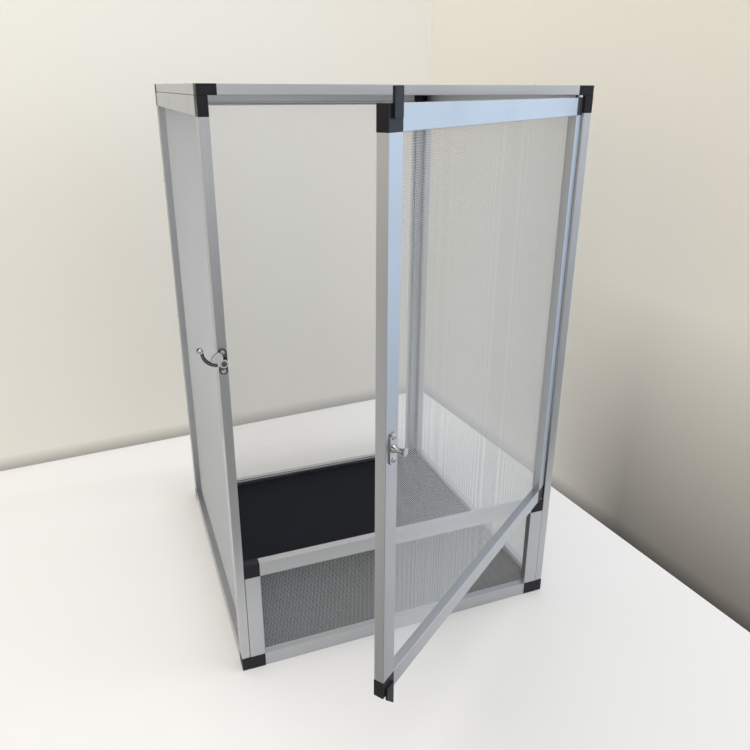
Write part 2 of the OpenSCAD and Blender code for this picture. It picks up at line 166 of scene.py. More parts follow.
class CageSizes(PropertyGroup):
    """Sizes of what is finished here. All other sizes come from the frame."""

    level_pitch: length("Level wire pitch", "Distance between neighbouring level wires", 2.0)
    upright_pitch: length("Upright wire pitch", "Distance between neighbouring upright wires", 1.9)
    wire_diameter: length("Wire diameter", "Diameter of a wire of the mesh", 0.35)
    corner_round: length("Corner rounding", "Rounding of the moulded connectors' edges", 0.5)
    board_round: length("Board rounding", "Rounding of the floor board's edges", 0.6)
    plate_round: length("Plate rounding", "Rounding of the latch's stamped edges", 0.3)
    spline_ribs: IntProperty(
        name="Spline ribs", description="Ribs round the rubber spline", default=10, min=4
    )
    rib_depth: share("Rib depth", "Depth of a rib, as a share of the spline's radius", 0.09)
    spline_bend: length("Spline bend", "Radius of the spline's bend in a corner", 2.0)
    recess_reach: share("Recess reach", "Reach of a screw's recess, as a share of its head", 0.62)
    recess_width: share("Recess width", "Width of a screw's recess, as a share of its head", 0.24)
    recess_depth: share("Recess depth", "Depth of a screw's recess, as a share of its dome", 0.7)


class CageFinishes(PropertyGroup):
    """Colours of the finishes, as the record gives them."""

    aluminium: colour("Aluminium", "Anodised bars", FINISH["frame_bar"])
    plastic: colour("Plastic", "Moulded corner connectors", FINISH["connector"])
    wire: colour("Wire", "Woven wire", FINISH["mesh"])
    rubber: colour("Rubber", "Spline in the grooves", FINISH["spline"])
    board: colour("Board", "Floor board", FINISH["floor_board"])
    chrome: colour("Chrome", "Hook, keeper and their plates", FINISH["latch_chrome"])
    nylon: colour("Nylon", "Hinge washers", FINISH["washer"])
    zinc: colour("Zinc", "Screws and hinge pins", FINISH["screw_steel"])


class CageStage(PropertyGroup):
    """Floor, backdrop, light and camera."""

    floor: colour("Floor", "Pale floor round the cage", (0.74, 0.725, 0.71, 1))
    # Partly a darker floor further out and partly painted shade
    far_floor_and_shade: colour("Far floor", "Dimmer floor further out", (0.30, 0.293, 0.28, 1))
    # Painted pool of the cool softbox's light on the floor
    cool_light_pool: colour("Cool floor", "Floor beneath the softbox", (0.47, 0.53, 0.63, 1))
    floor_glow: share("Floor glow", "Light that the floor shows of itself", 0.32)
    wall: colour("Wall", "Warm white backdrop", (0.73, 0.70, 0.635, 1))
    # Painted shadow along the backdrop's foot, dark on the right
    wall_foot_shadow: colour("Wall foot", "Foot of the backdrop on the right", (0.13, 0.12, 0.11, 1))
    wall_glow: share("Wall glow", "Light that the backdrop shows of itself", 0.06)
    mirrored_wall: share("Mirrored wall", "Light that the backdrop adds in reflections", 0.45)
    surround: number("Surround", "Strength of the light all round", 1.5)
    front_light: colour("Front light", "Light from the front", (0.70, 0.70, 0.70, 1))
    back_light: colour("Back light", "Light from the back", (0.42, 0.42, 0.41, 1))
    left_light: colour("Left light", "Warm light from the left", (0.62, 0.57, 0.49, 1))
    right_light: colour("Right light", "Cool light from the right", (0.71, 0.84, 1.0, 1))
    dark_front: colour("Dark front", "What reflections show high in front", (0.05, 0.05, 0.05, 1))
    overhead: power("Overhead", "Power of the overhead softbox", 20)
    side: power("Side", "Power of the cool softbox on the right", 28)
    camera_place: FloatVectorProperty(
        name="Camera",
        description="Place of the camera",
        default=(-0.3208, -0.9424, 0.7076),
        subtype="TRANSLATION",
    )
    camera_yaw: angle("Yaw", "Turn of the view from straight ahead towards the right", 21.10)
    camera_pitch: angle("Pitch", "Tilt of the view, negative downwards", -20.98)
    camera_roll: angle("Roll", "Roll of the view", 0.24)
    lens: number("Lens", "Focal length", 33.74, unit="CAMERA")
    camera_shift: number("Shift", "Upward shift of the frame", -0.025)


class PanelFrame:
    """One framed panel with its own axes: x along its width, y along its height, z inwards."""

    def __init__(self, name):
        self.name = name
        self.bars = [n for n in NODES if n.startswith(name + "_") and n.endswith(BAR_ENDINGS)]
        swing = swing_of(BODY_OF[self.bars[0]])
        low, high = box_of(self.bars, swing.inverted())
        axes = [Vector(way) for way in PANEL_AXES[name]]
        outer = Vector([low[i] if sum(a[i] for a in axes) > 0 else high[i] for i in range(3)])
        turn = Matrix(axes).transposed().to_4x4()
        self.matrix = swing @ Matrix.Translation(outer) @ turn

    def box(self, node):
        """Lowest and highest corner of a node on the panel's own axes."""
        return box_of([node], self.matrix.inverted())

    def run(self, bar):
        """Direction of a bar in the cage."""
        low, high = self.box(bar)
        sizes = high - low
        return self.matrix.to_3x3().col[0 if sizes.x > sizes.y else 1].normalized()


def swing_of(body):
    """Turn of a body from the shut cage to its place at rest. Only the door has one."""
    if body != "door":
        return Matrix.Identity(4)
    pivot = Vector(DOOR_JOINT["pos_m"])
    opening = -math.radians(DOOR_JOINT["range_deg"][0])
    turn = Matrix.Rotation(opening, 4, Vector(DOOR_JOINT["axis"]))
    return Matrix.Translation(pivot) @ turn @ Matrix.Translation(-pivot)


def box_of(nodes, matrix):
    """Lowest and highest corner of nodes, after a matrix."""
    return corners([matrix @ v.co for node in nodes for v in NODES[node].data.vertices])


def corners(points):
    """Lowest and highest corner of points."""
    return [Vector([pick(p[i] for p in points) for i in range(3)]) for pick in (min, max)]


def all_panels():
    return [PanelFrame(name) for name in PANEL_AXES]


class NodeMaker:
    """Adds nodes to a tree. An input is given by its socket's name or number.
    A node or a socket is linked to it, and anything else is its value."""

    def __init__(self, tree):
        self.tree = tree

    def add(self, kind, inputs=None, **settings):
        node = self.tree.nodes.new(kind)
        for key, value in settings.items():
            setattr(node, key, value)
        for key, value in (inputs or {}).items():
            self.feed(node, key, value)
        return node

    def feed(self, node, key, value):
        sockets = [s for s in node.inputs if s.enabled]
        if isinstance(key, int):
            socket = sockets[key]
        else:
            socket = next(s for s in sockets if s.name == key)
        if isinstance(value, bpy.types.Node):
            value = next(s for s in value.outputs if s.enabled)
        if isinstance(value, bpy.types.NodeSocket):
            self.tree.links.new(value, socket)
        else:
            socket.default_value = value

    def math(self, operation, *values):
        return self.add("ShaderNodeMath", dict(enumerate(values)), operation=operation)

    def times(self, first, *factors):
        """The product of two or more values."""
        for factor in factors:
            first = self.math("MULTIPLY", first, factor)
        return first

    def blend(self, first, second, part):
        """A part of the first value and the rest of the second."""
        return self.math("ADD", self.times(first, part), self.times(second, 1 - part))

    def remap(self, value, start, end, low=0.0, high=1.0):
        """A value that runs from low to high while another runs from start to end."""
        inputs = {"Value": value, "From Min": start, "From Max": end, "To Min": low, "To Max": high}
        return self.add("ShaderNodeMapRange", inputs)

    def between(self, value, low, high):
        """A value from 0 to 1 turned into one from low to high."""
        return self.remap(value, 0.0, 1.0, low, high)

    def mix(self, factor, first, second):
        """A colour between two."""
        inputs = {"Factor": factor, "A": first, "B": second}
        return self.add("ShaderNodeMix", inputs, data_type="RGBA")

    def noise(self, place, scale, detail, distortion=0.0):
        inputs = {"Vector": place, "Scale": scale, "Detail": detail, "Distortion": distortion}
        return self.add("ShaderNodeTexNoise", inputs)

    def vector(self, x=0.0, y=0.0, z=0.0):
        return self.add("ShaderNodeCombineXYZ", {"X": x, "Y": y, "Z": z})

    def measure(self, operation, first, second):
        """A number from two vectors."""
        inputs = {0: first, 1: second}
        return self.add("ShaderNodeVectorMath", inputs, operation=operation).outputs["Value"]

    def store(self, geometry, name, value, domain):
        """Geometry that keeps a number by name."""
        inputs = {"Geometry": geometry, "Name": name, "Value": value}
        kind = "GeometryNodeStoreNamedAttribute"
        return self.add(kind, inputs, data_type="FLOAT", domain=domain)

    def stored(self, name, data_type="FLOAT"):
        """What the geometry keeps by name."""
        return self.add("GeometryNodeInputNamedAttribute", {"Name": name}, data_type=data_type)

    def join(self, *parts):
        joined = self.add("GeometryNodeJoinGeometry")
        for part in parts:
            self.feed(joined, "Geometry", part)
        return joined


def new_tree(name, kind, inputs, outputs):
    """An empty node group with the given sockets: its maker, its inputs and its output node."""
    tree = bpy.data.node_groups.new(name, kind)
    for direction, sockets in (("INPUT", inputs), ("OUTPUT", outputs)):
        for label, value in sockets.items():
            socket_type = "NodeSocket" + value
            tree.interface.new_socket(name=label, in_out=direction, socket_type=socket_type)
    maker = NodeMaker(tree)
    return maker, maker.add("NodeGroupInput").outputs, maker.add("NodeGroupOutput")


def geometry_tree(name, sizes, **others):
    """An empty Geometry Nodes tree that takes sizes, a material and other inputs."""
    inputs = {**others, **dict.fromkeys(sizes, "Float"), "Material": "Material"}
    return new_tree(name, "GeometryNodeTree", inputs, {"Geometry": "Geometry"})


def close_tree(maker, given, result, geometry):
    """Ends a Geometry Nodes tree in real geometry with its material."""
    real = maker.add("GeometryNodeRealizeInstances", {"Geometry": geometry})
    inputs = {"Geometry": real, "Material": given["Material"]}
    maker.feed(result, "Geometry", maker.add("GeometryNodeSetMaterial", inputs))
    return maker.tree


def shared_group(name, inputs, outputs, fill):
    """A shader node group that several materials use, built once."""
    tree = bpy.data.node_groups.get(name)
    if tree is None:
        maker, given, result = new_tree(name, "ShaderNodeTree", inputs, outputs)
        fill(maker, given, result)
        tree = maker.tree
    return tree


def fill_drawn_lines(maker, given, result):
    coarse = maker.noise(given["Vector"], 1.0, detail=3.0)
    fine = maker.noise(given["Vector"], 5.0, detail=2.0)
    lines = maker.blend(coarse, fine, 0.65)
    maker.feed(result, "Lines", maker.remap(lines, start=0.35, end=0.65))


def fill_handling(maker, given, result):
    patches = maker.noise(given["Vector"], given["Scale"], detail=6.0, distortion=0.6)
    maker.feed(result, "Marks", maker.remap(patches, start=0.48, end=0.72))


def fill_fine_grain(maker, given, result):
    grain = maker.noise(given["Vector"], given["Scale"], detail=2.0)
    place = {"Vector": given["Vector"], "Scale": given["Scale"]}
    cells = maker.add("ShaderNodeTexVoronoi", place)
    maker.feed(result, "Grain", maker.blend(grain, cells, 0.6))


class Surface:
    """A material in the making, with the shared effects at hand."""

    scaled = {"Vector": "Vector", "Scale": "Float"}

    def __init__(self, name):
        self.material = bpy.data.materials.new(name)
        self.material.use_nodes = True
        self.maker = NodeMaker(self.material.node_tree)
        self.shader = self.material.node_tree.nodes["Principled BSDF"]
        self.place = self.maker.add("ShaderNodeTexCoord").outputs["Object"]

    def set(self, **sockets):
        for key, value in sockets.items():
            self.maker.feed(self.shader, key.replace("_", " "), value)

    def group(self, tree, **inputs):
        return self.maker.add("ShaderNodeGroup", inputs, node_tree=tree)

    def drawn_lines(self, run, line_length, line_width):
        """Fine lines along a direction, as a die or a brush leaves them."""
        sizes = (line_length, line_width, line_width)
        turn = run.to_track_quat("X", "Z").to_euler()
        inputs = {"Vector": self.place, "Rotation": turn, "Scale": sizes}
        mapped = self.maker.add("ShaderNodeMapping", inputs, vector_type="TEXTURE")
        tree = shared_group(
            "Drawn Lines", {"Vector": "Vector"}, {"Lines": "Float"}, fill_drawn_lines
        )
        return self.group(tree, Vector=mapped)

    def handling(self, scale):
        """Patches where hands and dust have dulled the surface."""
        tree = shared_group("Handling Marks", self.scaled, {"Marks": "Float"}, fill_handling)
        return self.group(tree, Vector=self.place, Scale=scale)

    def grain(self, scale):
        """Fine moulded or rolled grain."""
        tree = shared_group("Fine Grain", self.scaled, {"Grain": "Float"}, fill_fine_grain)
        return self.group(tree, Vector=self.place, Scale=scale)

    def tone(self, factor, base, low, high):
        """The base colour, darkened and lightened over the surface."""
        shades = [(*(c * level for c in base[:3]), 1.0) for level in (low, high)]
        return self.maker.mix(factor, *shades)

    def finish(self, factor, base, tones, roughness, **sockets):
        """Sets a tone and a roughness that change over the surface, and other inputs."""
        self.set(
            Base_Color=self.tone(factor, base, *tones),
            Roughness=self.maker.between(factor, *roughness),
            **sockets,
        )
        return self.material

    def bump(self, height, strength):
        inputs = {"Height": height, "Strength": strength, "Distance": BUMP_DISTANCE}
        return self.maker.add("ShaderNodeBump", inputs)

    def ramp(self, direction, start, end, low=0.0, high=1.0):
        """A value that runs from low to high between two distances along a direction."""
        along = self.maker.measure("DOT_PRODUCT", self.place, direction)
        return self.maker.remap(along, start, end, low, high)


def drawn_aluminium(base, label, run):
    surface = Surface("drawn_aluminium_" + label)
    lines = surface.drawn_lines(run, line_length=0.5, line_width=0.0005)
    dulled = surface.maker.between(surface.handling(scale=14.0), low=0.0, high=0.08)
    polish = surface.maker.between(lines, low=0.31, high=0.36)
    surface.set(
        Base_Color=surface.tone(lines, base, low=0.69, high=0.74),
        Metallic=1.0,
        Roughness=surface.maker.math("ADD", polish, dulled),
        Normal=surface.bump(lines, strength=0.05),
    )
    return surface.material


def moulded_plastic(base):
    surface = Surface("moulded_black_plastic")
    marks = surface.handling(scale=60.0)
    grained = surface.bump(surface.grain(scale=1400.0), strength=0.15)
    surface.set(Specular_IOR_Level=0.25)
    return surface.finish(marks, base, tones=(0.85, 1.4), roughness=(0.42, 0.58), Normal=grained)


def wire_with_painted_weave(base):
    """Brighter and duller by turns at its crossings: a painted highlight where each wire would go over and painted
    shade where it would go under.
    """
    surface = Surface("woven_bright_wire")
    maker = surface.maker
    weave = maker.add("ShaderNodeAttribute", attribute_name="weave").outputs["Fac"]
    wave = maker.math("COSINE", maker.times(weave, math.pi))
    # Painted highlight and shade along each wire, by its crossings
    over = maker.between(wave, low=0.5, high=1.0)
    return surface.finish(over, base, tones=(0.8, 0.92), roughness=(0.42, 0.30), Metallic=0.3)


def spline_rubber(base):
    surface = Surface("spline_rubber")
    grain = surface.grain(scale=900.0)
    grained = surface.bump(grain, strength=0.2)
    return surface.finish(grain, base, tones=(0.75, 1.2), roughness=(0.62, 0.78), Normal=grained)


def foamed_board(base):
    surface = Surface("foamed_black_board")
    scuffs = surface.handling(scale=9.0)
    grained = surface.bump(surface.grain(scale=2200.0), strength=0.1)
    surface.set(Specular_IOR_Level=0.12)
    return surface.finish(scuffs, base, tones=(0.95, 1.5), roughness=(0.66, 0.8), Normal=grained)


def facing_share(surface, turn):
    """1 where a surface faces the eye, and 0 where it turns away by more than a share. Where it is 0 the plating
    shows a painted dark reflection.
    """
    facing = surface.maker.add("ShaderNodeLayerWeight", {"Blend": 0.5}).outputs["Facing"]
    return surface.maker.remap(facing, turn, turn + TURN_SPAN, low=1.0, high=0.0)


def hook_painted_reflection_share(surface):
    """1 on the hook's flat heel and on the front of its ball, which keep the plating's bright tone, and 0 on its
    bow, which is painted dark as a reflection.
    """
    maker = surface.maker
    normal = maker.add("ShaderNodeNewGeometry").outputs["Normal"]
    square = maker.add("ShaderNodeSeparateXYZ", {"Vector": normal}).outputs["Y"]
    flat = maker.remap(maker.math("ABSOLUTE", square), start=0.996, end=0.9996)
    low, high = box_of(["latch_hook"], Matrix.Identity(4))
    middle = (low.x + BALL_REACH, (low.y + high.y) / 2, high.z - BALL_REACH)
    ball = maker.math("LESS_THAN", maker.measure("DISTANCE", surface.place, middle), BALL_REACH)
    # The bow's painted dark reflection, and the ball's where it turns from the eye
    return maker.math("MAXIMUM", flat, maker.times(ball, facing_share(surface, turn=0.2)))


def chrome_with_painted_reflection(base, label, tone, metallic, bright):
    """Plating in its own tone where bright is 1, and nearly black where it is 0.
    The dark is painted, not mirrored: it stands in for the dark side of a room."""
    surface = Surface("polished_chrome_" + label)
    marks = surface.handling(scale=220.0)
    plating = surface.tone(marks, base, low=tone, high=tone * WORN_TONE)
    surface.set(
        # Painted dark reflection wherever bright is 0
        Base_Color=surface.maker.mix(bright(surface), PAINTED_DARK_REFLECTION, plating),
        Metallic=metallic,
        Roughness=surface.maker.between(marks, low=0.06, high=0.16),
    )
    return surface.material


def zinc_plate(base):
    surface = Surface("zinc_plate")
    marks = surface.handling(scale=400.0)
    grained = surface.bump(surface.grain(scale=3000.0), strength=0.1)
    surface.set(Metallic=1.0)
    return surface.finish(marks, base, tones=(1.0, 0.8), roughness=(0.26, 0.46), Normal=grained)


def natural_nylon(base):
    surface = Surface("natural_nylon")
    grain = surface.grain(scale=1800.0)
    grained = surface.bump(grain, strength=0.1)
    return surface.finish(grain, base, tones=(0.92, 1.04), roughness=(0.35, 0.5), Normal=grained)


def dress(node, material):
    """Gives a node of the frame its finish."""
    mesh = NODES[node].data
    mesh.materials.clear()
    mesh.materials.append(material)


def add_piece(mesh, name, slot, *nodes):
    """Links a finished mesh as a piece that stands for nodes and moves with their body."""
    piece = bpy.data.objects.new(name, mesh)
    bpy.context.scene.collection.objects.link(piece)
    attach(piece, BODY_OF[nodes[0]])
    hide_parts(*nodes)
    return piece


def grown_mesh(name, tree, values, source=None):
    """The plain mesh that a Geometry Nodes tree makes from named values."""
    source = source or bpy.data.meshes.new("source")
    helper = bpy.data.objects.new("helper", source)
    bpy.context.scene.collection.objects.link(helper)
    modifier = helper.modifiers.new(name, "NODES")
    modifier.node_group = tree
    for socket in tree.interface.items_tree:
        if socket.in_out == "INPUT" and socket.name in values:
            modifier[socket.identifier] = values[socket.name]
    graph = bpy.context.evaluated_depsgraph_get()
    mesh = bpy.data.meshes.new_from_object(helper.evaluated_get(graph), depsgraph=graph)
    bpy.data.objects.remove(helper)
    bpy.data.meshes.remove(source)
    mesh.name = name
    return mesh


def merged_shape(node):
    """A node's mesh with its loose triangles joined."""
    shape = bmesh.new()
    shape.from_mesh(NODES[node].data)
    bmesh.ops.remove_doubles(shape, verts=shape.verts, dist=MERGE_DISTANCE)
    return shape


def softened_piece(node, name, slot, material, rounding):
    """A copy of a node with its sharp edges rounded."""
    shape = merged_shape(node)
    bmesh.ops.dissolve_limit(
        shape, angle_limit=FLAT_ANGLE, verts=shape.verts, edges=shape.edges
    )
    mesh = bpy.data.meshes.new(name)
    shape.to_mesh(mesh)
    shape.free()
    mesh.materials.append(material)
    mesh.shade_smooth()
    mesh.set_sharp_from_angle(angle=SHARP_ANGLE)
    piece = add_piece(mesh, name, slot, node)
    bevel = piece.modifiers.new("rounding", "BEVEL")
    bevel.width = rounding
    bevel.segments = ROUNDING_STEPS
    bevel.limit_method = "ANGLE"
    bevel.angle_limit = ROUNDED_ANGLE
    bevel.harden_normals = True


def wire_mesh_tree():
    """Two crossing layers of wires, whose ends are tucked down into the groove."""
    sizes = ("Width", "Height", "Hem", "Level Pitch", "Upright Pitch", "Diameter")
    maker, given, result = geometry_tree("Wire Mesh", sizes)
    section = {"Resolution": WIRE_SIDES, "Radius": maker.math("DIVIDE", given["Diameter"], 2.0)}
    profile = maker.add("GeometryNodeCurvePrimitiveCircle", section)
    pitch = {"Width": given["Upright Pitch"], "Height": given["Level Pitch"]}
    counts = {
        side: maker.math("FLOOR", maker.math("DIVIDE", given[side], pitch[side])) for side in pitch
    }

    def layer(run, across, parity):
        """Wires along X that are as long as run, spread over across."""
        index = maker.add("GeometryNodeInputIndex")
        far_half = maker.math("GREATER_THAN", index, WIRE_MIDDLE)
        from_middle = maker.math("ABSOLUTE", maker.math("SUBTRACT", index, WIRE_MIDDLE))
        tucked = maker.math("GREATER_THAN", from_middle, 1.0)
        along = maker.times(maker.math("SUBTRACT", far_half, 0.5), given[run])
        place = maker.vector(along, 0.0, maker.times(tucked, given["Hem"], -1.0))
        points = maker.add("GeometryNodeMeshLine", {"Count": WIRE_POINTS})
        bent = maker.add("GeometryNodeSetPosition", {"Geometry": points, "Position": place})
        half_crossings = maker.math("DIVIDE", maker.math("SUBTRACT", counts[run], 1.0), 2.0)
        crossing = maker.math("ADD", maker.math("DIVIDE", along, pitch[run]), half_crossings)
        marked = maker.store(bent, "weave", crossing, "POINT")
        path = maker.add("GeometryNodeMeshToCurve", {"Mesh": marked})
        wire = maker.add(
            "GeometryNodeCurveToMesh",
            {"Curve": path, "Profile Curve": profile, "Fill Caps": True},
        )
        reach = maker.times(maker.math("SUBTRACT", counts[across], 1.0), pitch[across])
        row = maker.add(
            "GeometryNodeMeshLine",
            {
                "Count": counts[across],
                "Start Location": maker.vector(0.0, maker.math("DIVIDE", reach, -2.0)),
                "Offset": maker.vector(0.0, pitch[across]),
            },
        )
        spread = maker.add("GeometryNodeInstanceOnPoints", {"Points": row, "Instance": wire})
        row_number = maker.math("ADD", maker.add("GeometryNodeInputIndex"), parity)
        numbered = maker.store(spread, "row", row_number, "INSTANCE")
        return maker.add("GeometryNodeRealizeInstances", {"Geometry": numbered})

    level = layer("Width", "Height", parity=0.0)
    upright = maker.add(
        "GeometryNodeTransform",
        {
            "Geometry": layer("Height", "Width", parity=1.0),
            "Rotation": (0.0, 0.0, math.pi / 2),
            "Translation": maker.vector(z=given["Diameter"]),
        },
    )
    weave = maker.math("ADD", maker.stored("weave"), maker.stored("row"))
    woven = maker.store(maker.join(level, upright), "weave", weave, "POINT")
    smooth = maker.add("GeometryNodeSetShadeSmooth", {"Geometry": woven})
    return close_tree(maker, given, result, smooth)


def spline_tree():
    """A ribbed strand that runs once round a panel's groove."""
    sizes = ("Width", "Height", "Thickness", "Depth", "Bend", "Rib Depth")
    maker, given, result = geometry_tree("Spline", sizes, Ribs="Int")
    outline = {side: given[side] for side in ("Width", "Height")}
    path = maker.add("GeometryNodeCurvePrimitiveQuadrilateral", outline)
    bend = {"Curve": path, "Radius": given["Bend"], "Count": SPLINE_BEND_STEPS}
    bent = maker.add("GeometryNodeFilletCurve", bend, mode="POLY")
    level = maker.add("GeometryNodeSetCurveNormal", {"Curve": bent}, mode="Z_UP")
    turn = maker.times(maker.add("GeometryNodeSplineParameter"), 2 * math.pi)
    rib = maker.times(maker.math("COSINE", maker.times(turn, given["Ribs"])), 0.5)
    cut = maker.times(maker.math("ADD", rib, 0.5), given["Rib Depth"])
    radius = maker.math("SUBTRACT", 1.0, cut)
    sides = [
        maker.times(maker.math(wave, turn), radius, maker.math("DIVIDE", given[size], 2.0))
        for wave, size in (("COSINE", "Thickness"), ("SINE", "Depth"))
    ]
    circle = maker.add("GeometryNodeCurvePrimitiveCircle", {"Resolution": SPLINE_SIDES})
    section = {"Geometry": circle, "Position": maker.vector(*sides)}
    profile = maker.add("GeometryNodeSetPosition", section)
    strand = maker.add("GeometryNodeCurveToMesh", {"Curve": level, "Profile Curve": profile})
    smooth = maker.add("GeometryNodeSetShadeSmooth", {"Geometry": strand})
    return close_tree(maker, given, result, smooth)


def screw_tree():
    """Domed screws with a cross recess, one on each point, along the point's axis."""
    sizes = ("Head Radius", "Head Height", "Shank Radius", "Shank Length")
    shares = ("Recess Reach", "Recess Width", "Recess Depth")
    maker, given, result = geometry_tree(
        "Domed Screws", sizes + shares, Seats="Geometry", Seed="Int"
    )
    head_radius, head_height = given["Head Radius"], given["Head Height"]
    ball = maker.add(
        "GeometryNodeMeshUVSphere", {"Segments": DOME_SEGMENTS, "Rings": DOME_RINGS, "Radius": 1.0}
    )
    position = maker.add("GeometryNodeInputPosition")
    unit = maker.add("ShaderNodeSeparateXYZ", {"Vector": position}).outputs
    dome_place = maker.vector(
        maker.times(unit["X"], head_radius),
        maker.times(unit["Y"], head_radius),
        maker.times(maker.math("MAXIMUM", unit["Z"], 0.0), head_height),
    )
    recessed = maker.add("GeometryNodeSetPosition", {"Geometry": ball, "Position": dome_place})
    slot_length = maker.times(head_radius, given["Recess Reach"], 2.0)
    slot_width = maker.times(head_radius, given["Recess Width"])
    slot_height = maker.times(head_height, given["Recess Depth"], 2.0)
    for plan in ((slot_length, slot_width), (slot_width, slot_length)):
        bar = maker.add("GeometryNodeMeshCube", {"Size": maker.vector(*plan, slot_height)})
        raised = maker.add(
            "GeometryNodeTransform", {"Geometry": bar, "Translation": maker.vector(z=head_height)}
        )
        recessed = maker.add(
            "GeometryNodeMeshBoolean",
            {"Mesh 1": recessed, "Mesh 2": raised},
            operation="DIFFERENCE",
            solver="EXACT",
        )
    rod = maker.add(
        "GeometryNodeMeshCylinder",
        {"Vertices": SHANK_SIDES, "Radius": given["Shank Radius"], "Depth": given["Shank Length"]},
    )
    below = maker.vector(z=maker.math("DIVIDE", given["Shank Length"], -2.0))
    shank = maker.add("GeometryNodeTransform", {"Geometry": rod, "Translation": below})
    axis = maker.stored("axis", "FLOAT_VECTOR")
    upright = maker.add("FunctionNodeAlignRotationToVector", {"Vector": axis}, axis="Z")
    any_turn = {"Min": 0.0, "Max": math.pi, "Seed": given["Seed"]}
    spin = maker.add("FunctionNodeRandomValue", any_turn, data_type="FLOAT")
    driven = maker.add("FunctionNodeAxisAngleToRotation", {"Axis": UP, "Angle": spin})
    turn = maker.add(
        "FunctionNodeRotateRotation",
        {"Rotation": upright, "Rotate By": driven},
        rotation_space="LOCAL",
    )
    seated = maker.add(
        "GeometryNodeInstanceOnPoints",
        {"Points": given["Seats"], "Instance": maker.join(recessed, shank), "Rotation": turn},
    )
    return close_tree(maker, given, result, seated)


def bar_label(run):
    """The axis that a bar runs along, or the door's own where it is square to none."""
    sizes = [abs(part) for part in run]
    return "door" if max(sizes) < SQUARE_RUN else "xyz"[sizes.index(max(sizes))]


class CAGE_OT_frame_bars(Operator):
    """Dress the panels' bars in aluminium that is drawn along each bar"""

    bl_idname = "cage.frame_bars"
    bl_label = "Frame bars"

    def execute(self, context):
        base = context.scene.cage_finishes.aluminium
        finishes = {}
        for panel in all_panels():
            for bar in panel.bars:
                run = panel.run(bar)
                label = bar_label(run)
                if label not in finishes:
                    finishes[label] = drawn_aluminium(base, label, run)
                dress(bar, finishes[label])
        return {"FINISHED"}


class CAGE_OT_corner_connectors(Operator):
    """Round the edges of the moulded corner connectors"""

    bl_idname = "cage.corner_connectors"
    bl_label = "Corner connectors"

    def execute(self, context):
        material = moulded_plastic(context.scene.cage_finishes.plastic)
        rounding = context.scene.cage_sizes.corner_round
        for node in [n for n in NODES if n.endswith("_corners")]:
            name = node.replace("corners", "corner_connectors")
            softened_piece(node, name, "connector", material, rounding)
        return {"FINISHED"}


class CAGE_OT_wire_mesh(Operator):
    """Lay the crossing wires of each panel's mesh"""

    bl_idname = "cage.wire_mesh"
    bl_label = "Wire mesh"

    def execute(self, context):
        sizes = context.scene.cage_sizes
        material = wire_with_painted_weave(context.scene.cage_finishes.wire)
        tree = wire_mesh_tree()
        for panel in all_panels():
            node = panel.name + "_mesh"
            low, high = panel.box(node)
            hem_top = high.z - 2 * sizes.wire_diameter
            values = {
                "Width": high.x - low.x - sizes.wire_diameter,
                "Height": high.y - low.y - sizes.wire_diameter,
                "Hem": hem_top - low.z,
                "Level Pitch": sizes.level_pitch,
                "Upright Pitch": sizes.upright_pitch,
                "Diameter": sizes.wire_diameter,
                "Material": material,
            }
            mesh = grown_mesh(panel.name + "_wire_mesh", tree, values)
            middle = (low + high) / 2
            mesh.transform(panel.matrix @ Matrix.Translation((middle.x, middle.y, hem_top)))
            add_piece(mesh, mesh.name, "mesh", node)
        return {"FINISHED"}


class CAGE_OT_splines(Operator):
    """Lay the ribbed rubber spline round each panel's groove"""

    bl_idname = "cage.splines"
    bl_label = "Splines"

    def execute(self, context):
        sizes = context.scene.cage_sizes
        material = spline_rubber(context.scene.cage_finishes.rubber)
        tree = spline_tree()
        for panel in all_panels():
            node = panel.name + "_spline"
            low, high = panel.box(node)
            inverse = panel.matrix.inverted()
            steps = sorted(round((inverse @ v.co).x, 5) for v in NODES[node].data.vertices)
            thickness = next(s for s in steps if s > steps[0]) - steps[0]
            values = {
                "Width": high.x - low.x - thickness,
                "Height": high.y - low.y - thickness,
                "Thickness": thickness,
                "Depth": high.z - low.z,
                "Bend": sizes.spline_bend,
                "Ribs": sizes.spline_ribs,
                "Rib Depth": sizes.rib_depth,
                "Material": material,
            }
            mesh = grown_mesh(panel.name + "_ribbed_spline", tree, values)
            mesh.transform(panel.matrix @ Matrix.Translation((low + high) / 2))
            add_piece(mesh, mesh.name, "spline", node)
        return {"FINISHED"}


class CAGE_OT_floor_board(Operator):
    """Round and dress the floor board"""

    bl_idname = "cage.floor_board"
    bl_label = "Floor board"

    def execute(self, context):
        material = foamed_board(context.scene.cage_finishes.board)
        rounding = context.scene.cage_sizes.board_round
        softened_piece("floor_board", "black_floor_board", "floor_board", material, rounding)
        return {"FINISHED"}


class CAGE_OT_hinges(Operator):
    """Dress the hinge pins and their washers"""

    bl_idname = "cage.hinges"
    bl_label = "Hinges"

    def execute(self, context):
        finishes = context.scene.cage_finishes
        dress("hinge_pins", zinc_plate(finishes.zinc))
        dress("hinge_washers", natural_nylon(finishes.nylon))
        return {"FINISHED"}


